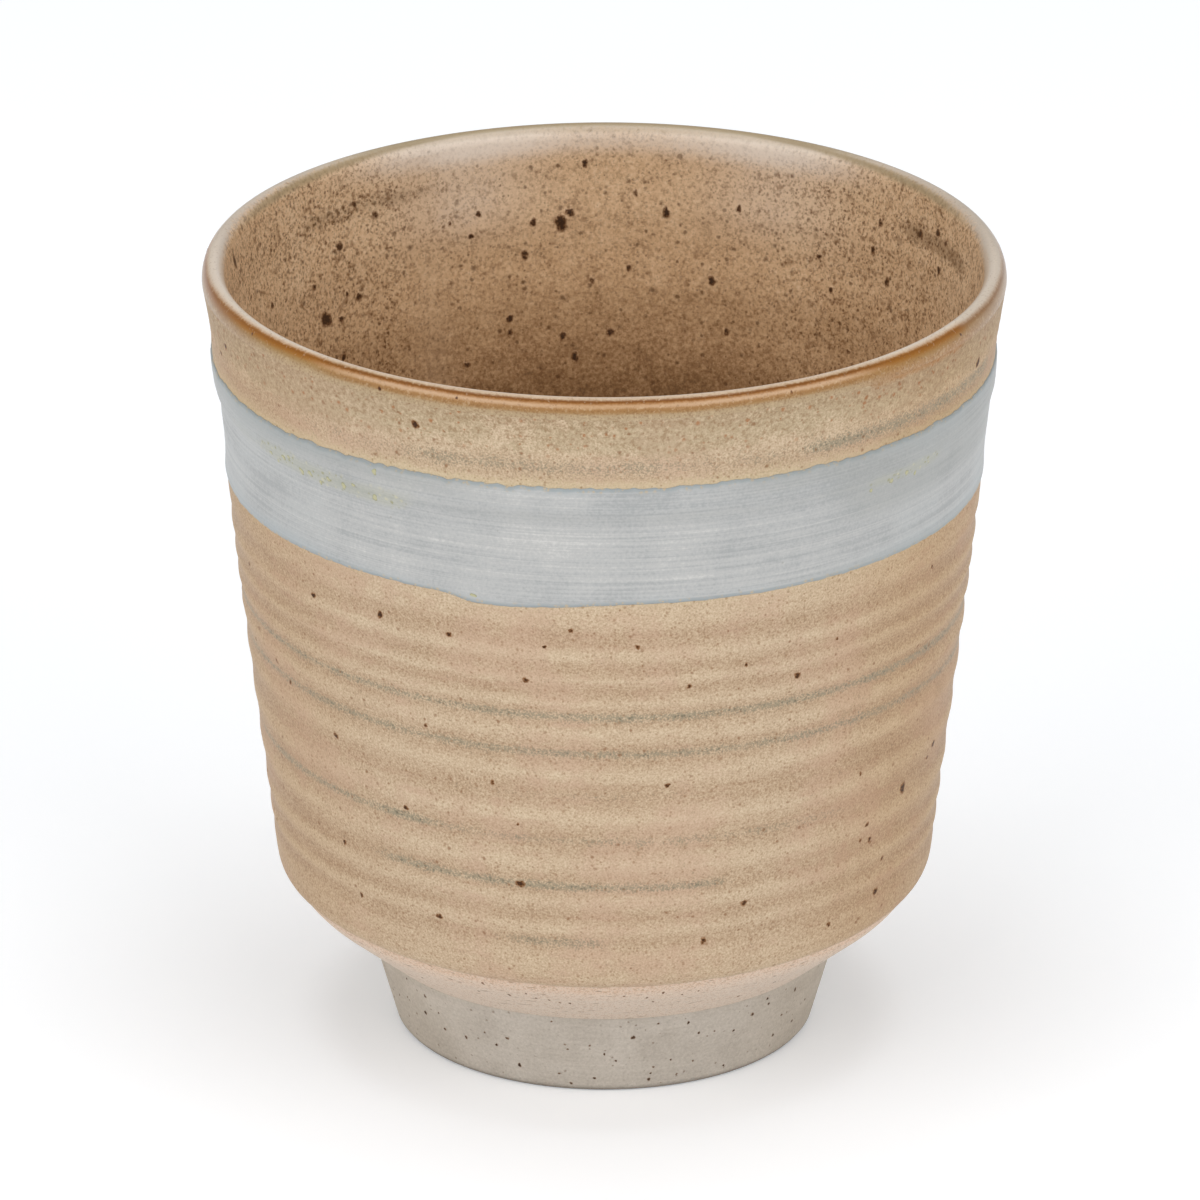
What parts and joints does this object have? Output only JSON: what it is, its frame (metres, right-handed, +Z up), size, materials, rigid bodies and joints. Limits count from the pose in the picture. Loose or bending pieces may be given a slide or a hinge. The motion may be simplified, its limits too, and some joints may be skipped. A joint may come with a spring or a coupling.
{
  "type": "yunomi tea cup",
  "caption": "Tall handleless stoneware tea cup with throwing rings, tan speckled glaze, brushed blue-grey band, iron-brown lip, glazed inside and a tapered foot ring.",
  "frame": {"origin": "centre of the foot ring's resting plane, where the cup stands on the table", "axes": "+Z up along the cup's turning axis; X and Y lie in the table plane, and the picture looks along +Y"},
  "size_m": [0.084, 0.084, 0.0857],
  "materials": {
    "clay": "bare fired stoneware, matt, with orange flashing",
    "foot_clay": "bare grey stoneware, matt, with fine dark specks",
    "tan_glaze": "satin tan glaze with iron specks",
    "blue_slip": "satin brushed slip",
    "iron_glaze": "glossy iron-brown glaze",
    "liner": "glossy speckled brown glaze"
  },
  "bodies": {
    "root": {"cup_body": "clay", "foot_ring": "foot_clay", "outer_glaze": "tan_glaze", "slip_band": "blue_slip", "iron_lip": "iron_glaze", "liner_glaze": "liner"}
  },
  "joints": []
}
